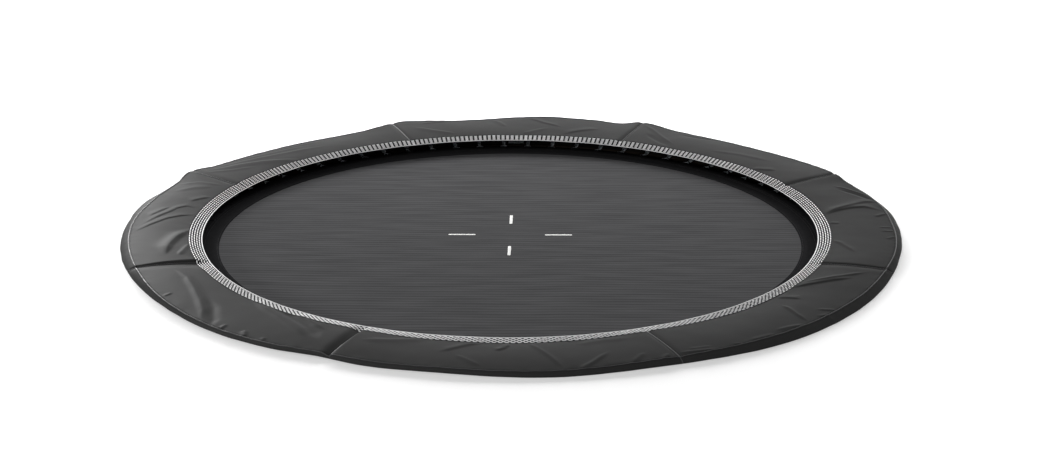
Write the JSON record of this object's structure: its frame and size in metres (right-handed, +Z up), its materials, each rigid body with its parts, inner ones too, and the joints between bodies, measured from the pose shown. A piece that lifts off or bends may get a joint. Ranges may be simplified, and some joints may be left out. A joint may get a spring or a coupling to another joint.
{
  "type": "in-ground trampoline",
  "caption": "Round in-ground trampoline: steel ring on low feet, sprung jumping mat, and a padded edge in charcoal panels with a striped inner trim.",
  "frame": {"origin": "centre of the ring, on the ledge that the feet's base plates stand on", "axes": "+Z up, out of the pit; +X to the right and -Y to the front, the side seen first; ground level, where the pad's hem rests, is at z = 0.080 m"},
  "size_m": [3.78, 3.78, 0.1083],
  "materials": {
    "galvanised_steel": "matte galvanised",
    "zinc_plated_steel": "bright zinc",
    "spring_steel": "galvanised spring wire",
    "pad_vinyl": "satin coated fabric",
    "pad_foam": "closed-cell foam",
    "trim_webbing": "woven webbing",
    "trim_cord": "light woven cord",
    "piping": "sewn piping",
    "elastic_strap": "black elastic",
    "mat_mesh": "woven mesh",
    "mat_webbing": "black webbing",
    "mark_thread": "white sewn tape"
  },
  "bodies": {
    "frame": {"frame_tube_1": "galvanised_steel", "frame_tube_2": "galvanised_steel", "frame_tube_3": "galvanised_steel", "frame_tube_4": "galvanised_steel", "frame_tube_5": "galvanised_steel", "frame_tube_6": "galvanised_steel", "frame_tube_7": "galvanised_steel", "frame_tube_8": "galvanised_steel", "foot_right": "galvanised_steel", "foot_back_right": "galvanised_steel", "foot_back": "galvanised_steel", "foot_back_left": "galvanised_steel", "foot_left": "galvanised_steel", "foot_front_left": "galvanised_steel", "foot_front": "galvanised_steel", "foot_front_right": "galvanised_steel", "joint_bolts": "zinc_plated_steel", "joint_nuts": "zinc_plated_steel", "springs_1": "spring_steel", "springs_2": "spring_steel", "springs_3": "spring_steel", "springs_4": "spring_steel", "springs_5": "spring_steel", "springs_6": "spring_steel", "springs_7": "spring_steel", "springs_8": "spring_steel", "pad_cover_right": "pad_vinyl", "pad_cover_back_right": "pad_vinyl", "pad_cover_back": "pad_vinyl", "pad_cover_back_left": "pad_vinyl", "pad_cover_left": "pad_vinyl", "pad_cover_front_left": "pad_vinyl", "pad_cover_front": "pad_vinyl", "pad_cover_front_right": "pad_vinyl", "pad_foam_right": "pad_foam", "pad_foam_back_right": "pad_foam", "pad_foam_back": "pad_foam", "pad_foam_back_left": "pad_foam", "pad_foam_left": "pad_foam", "pad_foam_front_left": "pad_foam", "pad_foam_front": "pad_foam", "pad_foam_front_right": "pad_foam", "pad_trim_right": "trim_webbing", "pad_trim_back_right": "trim_webbing", "pad_trim_back": "trim_webbing", "pad_trim_back_left": "trim_webbing", "pad_trim_left": "trim_webbing", "pad_trim_front_left": "trim_webbing", "pad_trim_front": "trim_webbing", "pad_trim_front_right": "trim_webbing", "trim_stripes": "trim_cord", "seam_piping": "piping", "hem_piping": "piping", "pad_straps": "elastic_strap"},
    "mat": {"mat_mesh": "mat_mesh", "mat_hem_band": "mat_webbing", "mat_centre_marks": "mark_thread", "mat_wire_rings": "zinc_plated_steel", "mat_webbing_loops": "mat_webbing"}
  },
  "joints": [
    {"name": "mat_bounce", "type": "slide", "parent": "frame", "child": "mat", "axis": [0, 0, 1], "range_m": [-0.2, 0.03], "stiffness_N_per_m": 4000, "springref_m": 0.0159, "deforming": ["springs_1", "springs_2", "springs_3", "springs_4", "springs_5", "springs_6", "springs_7", "springs_8"]}
  ]
}
